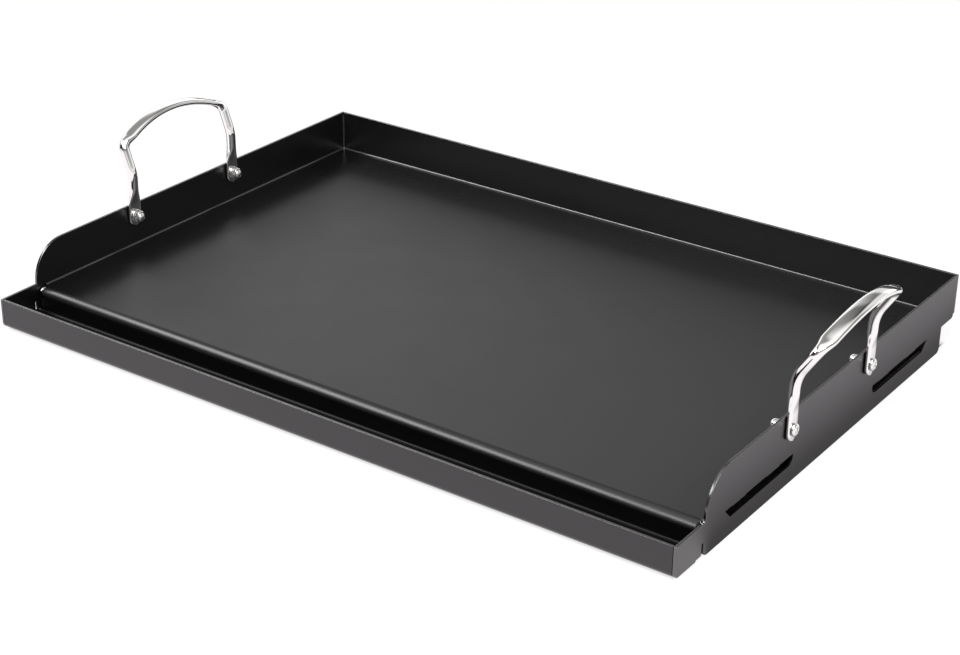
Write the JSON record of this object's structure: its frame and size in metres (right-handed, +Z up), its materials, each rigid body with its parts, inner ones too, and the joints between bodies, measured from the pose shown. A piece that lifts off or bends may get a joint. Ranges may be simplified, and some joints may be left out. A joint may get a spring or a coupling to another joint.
{
  "type": "griddle",
  "caption": "Flat-top griddle for a grill grate: folded steel cooking pan with side walls, rolled front edge, grease trough, slotted skirts and bent steel rod handles.",
  "frame": {"origin": "centre of the plan on the cooking face", "axes": "+X to the right along the long side, -Y to the front where the grease trough is, +Z up away from the cooking face"},
  "size_m": [0.626, 0.408, 0.1201],
  "materials": {
    "coated_steel": "satin black non-stick coating on carbon steel sheet",
    "weld_bead": "coated weld bead",
    "polished_stainless": "polished stainless rod",
    "plated_fastener": "bright plated steel"
  },
  "bodies": {
    "root": {"pan": "coated_steel", "left_side_plate": "coated_steel", "right_side_plate": "coated_steel", "left_side_weld": "weld_bead", "right_side_weld": "weld_bead", "left_trough_weld": "weld_bead", "right_trough_weld": "weld_bead", "left_roll_tack": "weld_bead", "right_roll_tack": "weld_bead", "left_stitch_weld_1": "weld_bead", "left_stitch_weld_2": "weld_bead", "left_stitch_weld_3": "weld_bead", "left_stitch_weld_4": "weld_bead", "right_stitch_weld_1": "weld_bead", "right_stitch_weld_2": "weld_bead", "right_stitch_weld_3": "weld_bead", "right_stitch_weld_4": "weld_bead", "left_handle": "polished_stainless", "right_handle": "polished_stainless", "left_front_screw": "plated_fastener", "left_rear_screw": "plated_fastener", "right_front_screw": "plated_fastener", "right_rear_screw": "plated_fastener", "left_front_washer": "plated_fastener", "left_rear_washer": "plated_fastener", "right_front_washer": "plated_fastener", "right_rear_washer": "plated_fastener", "left_front_cap_nut": "plated_fastener", "left_rear_cap_nut": "plated_fastener", "right_front_cap_nut": "plated_fastener", "right_rear_cap_nut": "plated_fastener"}
  },
  "joints": []
}
